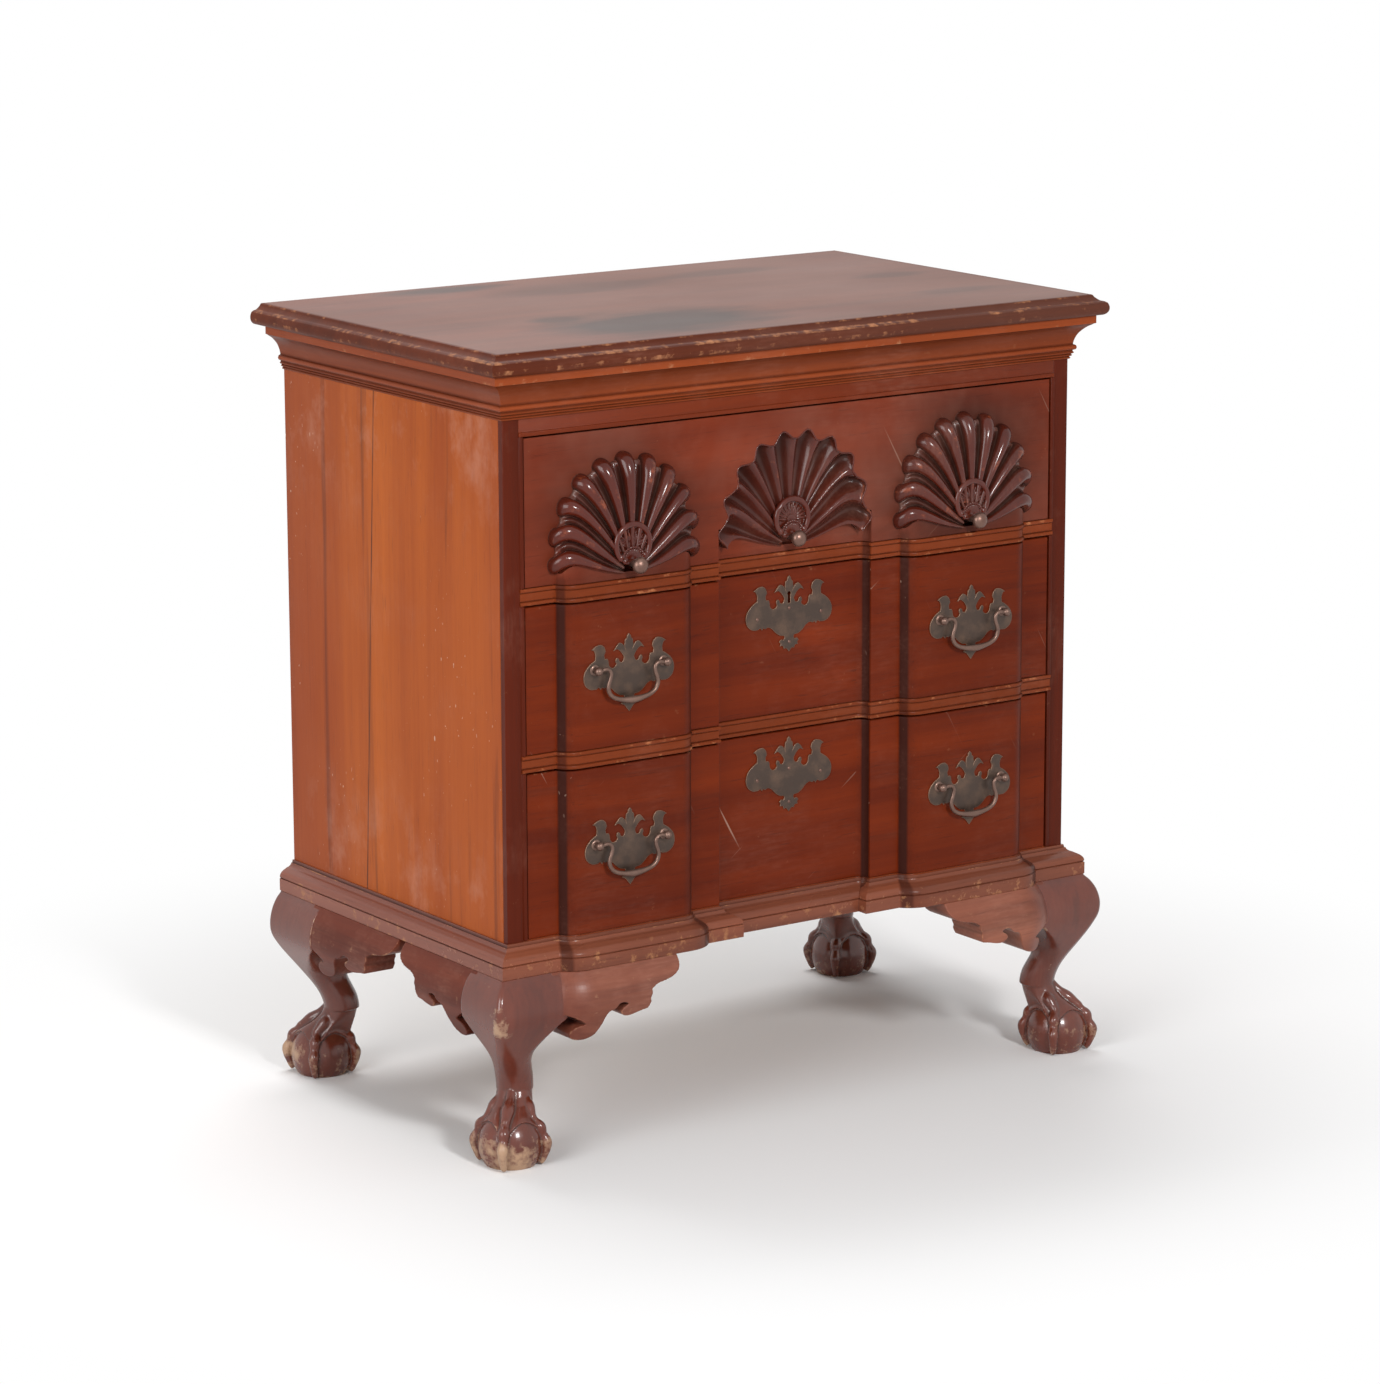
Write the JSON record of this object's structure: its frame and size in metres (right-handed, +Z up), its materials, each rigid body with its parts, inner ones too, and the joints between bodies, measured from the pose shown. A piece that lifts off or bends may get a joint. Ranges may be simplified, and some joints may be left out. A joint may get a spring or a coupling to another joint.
{
  "type": "block front chest of drawers",
  "caption": "Block front chest of drawers with carved shells, cove cornice, bat-wing brass pulls and cabriole legs on ball-and-claw feet",
  "frame": {"origin": "on the floor, under the middle of the overall width and depth", "axes": "+Z up, +X to the viewer's right when facing the drawers, drawers open towards -Y"},
  "size_m": [0.7904, 0.4916, 0.839],
  "materials": {
    "mahogany_top": "hazy satin shellac",
    "mahogany_side": "satin shellac",
    "mahogany_front": "satin shellac",
    "mahogany_dark": "worn dark satin shellac",
    "mahogany_carved": "worn dark satin shellac",
    "inner_wood": "bare wood",
    "brass_plate": "dark aged lacquer",
    "brass_bright": "worn to bare metal",
    "lock_metal": "plain aged metal"
  },
  "bodies": {
    "case": {"back_boards": "inner_wood", "base_molding_front": "mahogany_dark", "base_molding_left": "mahogany_dark", "base_molding_right": "mahogany_dark", "bottom_board": "inner_wood", "bottom_rail": "mahogany_front", "bracket_front_left": "mahogany_dark", "bracket_front_right": "mahogany_dark", "bracket_side_front_left": "mahogany_dark", "bracket_side_front_right": "mahogany_dark", "bracket_side_rear_left": "mahogany_dark", "bracket_side_rear_right": "mahogany_dark", "cornice_front": "mahogany_dark", "cornice_left": "mahogany_dark", "cornice_right": "mahogany_dark", "drawer_guides": "inner_wood", "drawer_rail_lower": "mahogany_front", "drawer_rail_upper": "mahogany_front", "drawer_runners": "inner_wood", "drawer_stops": "inner_wood", "dust_panels": "inner_wood", "glue_blocks": "inner_wood", "leg_front_left": "mahogany_dark", "leg_front_right": "mahogany_dark", "leg_rear_left": "mahogany_dark", "leg_rear_right": "mahogany_dark", "side_panel_left": "mahogany_side", "side_panel_right": "mahogany_side", "stile_left": "mahogany_front", "stile_right": "mahogany_front", "top_board": "mahogany_top", "top_rail": "mahogany_front"},
    "upper_drawer": {"upper_drawer_front": "mahogany_front", "upper_drawer_sides": "inner_wood", "upper_drawer_back": "inner_wood", "upper_drawer_bottom": "inner_wood", "shell_left": "mahogany_carved", "shell_center": "mahogany_carved", "shell_right": "mahogany_carved", "shell_knobs": "brass_bright"},
    "middle_drawer": {"middle_drawer_front": "mahogany_front", "middle_drawer_sides": "inner_wood", "middle_drawer_back": "inner_wood", "middle_drawer_bottom": "inner_wood", "pull_plates_middle": "brass_plate", "pull_posts_middle": "brass_bright", "escutcheon_middle": "brass_plate", "lock_case": "lock_metal"},
    "lower_drawer": {"lower_drawer_front": "mahogany_front", "lower_drawer_sides": "inner_wood", "lower_drawer_back": "inner_wood", "lower_drawer_bottom": "inner_wood", "pull_plates_lower": "brass_plate", "pull_posts_lower": "brass_bright", "escutcheon_lower": "brass_plate"},
    "bail_middle_left": {"bail_middle_left": "brass_bright"},
    "bail_middle_right": {"bail_middle_right": "brass_bright"},
    "bail_lower_left": {"bail_lower_left": "brass_bright"},
    "bail_lower_right": {"bail_lower_right": "brass_bright"},
    "lock_bolt": {"lock_bolt": "lock_metal"}
  },
  "joints": [
    {"name": "upper_drawer_slide", "type": "slide", "parent": "case", "child": "upper_drawer", "axis": [0, -1, 0], "range_m": [0, 0.32]},
    {"name": "middle_drawer_slide", "type": "slide", "parent": "case", "child": "middle_drawer", "axis": [0, -1, 0], "range_m": [0, 0.32]},
    {"name": "lower_drawer_slide", "type": "slide", "parent": "case", "child": "lower_drawer", "axis": [0, -1, 0], "range_m": [0, 0.32]},
    {"name": "bail_middle_left_swing", "type": "hinge", "parent": "middle_drawer", "child": "bail_middle_left", "pos_m": [-0.22, -0.22155, 0.507], "axis": [-1, 0, 0], "range_deg": [0, 95]},
    {"name": "bail_middle_right_swing", "type": "hinge", "parent": "middle_drawer", "child": "bail_middle_right", "pos_m": [0.22, -0.22155, 0.507], "axis": [-1, 0, 0], "range_deg": [0, 95]},
    {"name": "bail_lower_left_swing", "type": "hinge", "parent": "lower_drawer", "child": "bail_lower_left", "pos_m": [-0.22, -0.22155, 0.325], "axis": [-1, 0, 0], "range_deg": [0, 95]},
    {"name": "bail_lower_right_swing", "type": "hinge", "parent": "lower_drawer", "child": "bail_lower_right", "pos_m": [0.22, -0.22155, 0.325], "axis": [-1, 0, 0], "range_deg": [0, 95]},
    {"name": "lock_bolt_slide", "type": "slide", "parent": "middle_drawer", "child": "lock_bolt", "axis": [0, 0, 1], "range_m": [0, 0.006]}
  ]
}
